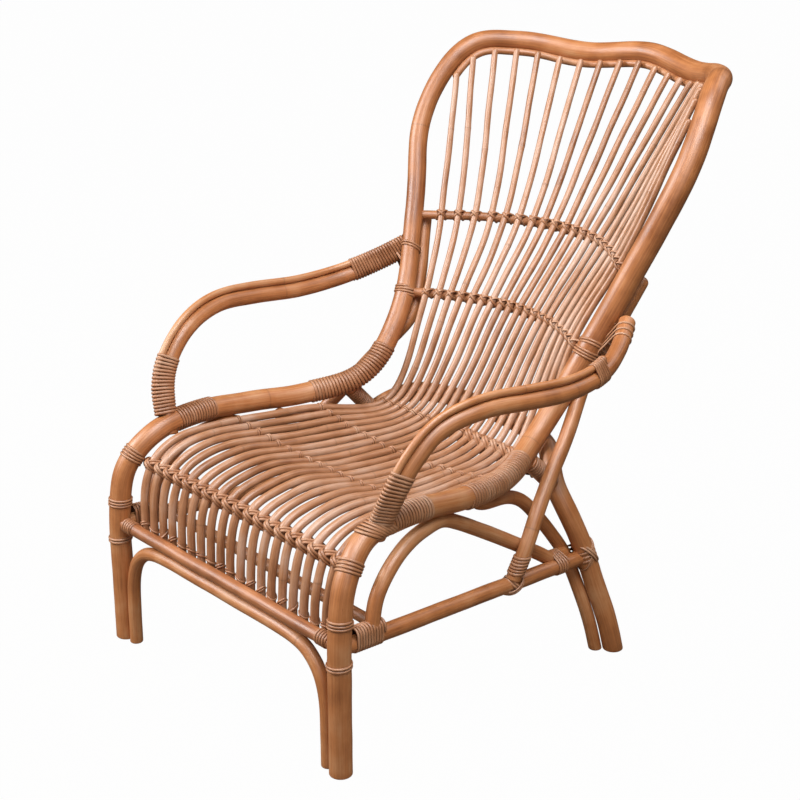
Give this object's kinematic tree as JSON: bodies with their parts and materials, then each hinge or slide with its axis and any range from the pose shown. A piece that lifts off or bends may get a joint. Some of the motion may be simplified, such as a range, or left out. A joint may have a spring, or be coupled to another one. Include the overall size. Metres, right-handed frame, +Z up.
{
  "type": "peacock chair",
  "caption": "Bare bent-cane lounge armchair with a winged, concave back, a seat and back of thin round canes, looped arms, splayed rear legs and split-cane bindings.",
  "frame": {"origin": "middle of the footprint of the whole chair, on the floor", "axes": "+Z up, -Y to the front of the chair, +X to the sitter's left"},
  "size_m": [0.664, 0.9388, 0.8894],
  "materials": {
    "pole": "satin",
    "rail": "satin",
    "cane": "satin",
    "binding": "satin"
  },
  "bodies": {
    "root": {"back_hoop": "pole", "right_side_pole": "pole", "left_side_pole": "pole", "right_arm": "pole", "left_arm": "pole", "right_arm_companion": "pole", "left_arm_companion": "pole", "rear_leg_hoop": "pole", "front_inner_arch": "pole", "right_rear_knee": "pole", "left_rear_knee": "pole", "right_stretcher": "pole", "left_stretcher": "pole", "right_side_arch": "pole", "left_side_arch": "pole", "right_back_brace": "pole", "left_back_brace": "pole", "right_rear_link": "pole", "left_rear_link": "pole", "front_rail": "rail", "front_edge_rail": "rail", "front_seat_rail": "rail", "middle_seat_rail": "rail", "rear_seat_rail": "rail", "low_cross_rail": "rail", "lower_back_rail": "rail", "upper_back_rail": "rail", "back_liner": "rail", "cane_01": "cane", "cane_02": "cane", "cane_03": "cane", "cane_04": "cane", "cane_05": "cane", "cane_06": "cane", "cane_07": "cane", "cane_08": "cane", "cane_09": "cane", "cane_10": "cane", "cane_11": "cane", "cane_12": "cane", "cane_13": "cane", "cane_14": "cane", "cane_15": "cane", "cane_16": "cane", "cane_17": "cane", "cane_18": "cane", "cane_19": "cane", "right_arm_post_binding": "binding", "left_arm_post_binding": "binding", "right_seat_front_binding": "binding", "left_seat_front_binding": "binding", "right_rear_bend_binding": "binding", "left_rear_bend_binding": "binding", "right_arm_rear_binding": "binding", "left_arm_rear_binding": "binding", "right_stretcher_binding": "binding", "left_stretcher_binding": "binding", "right_brace_foot_binding": "binding", "left_brace_foot_binding": "binding"}
  },
  "joints": []
}
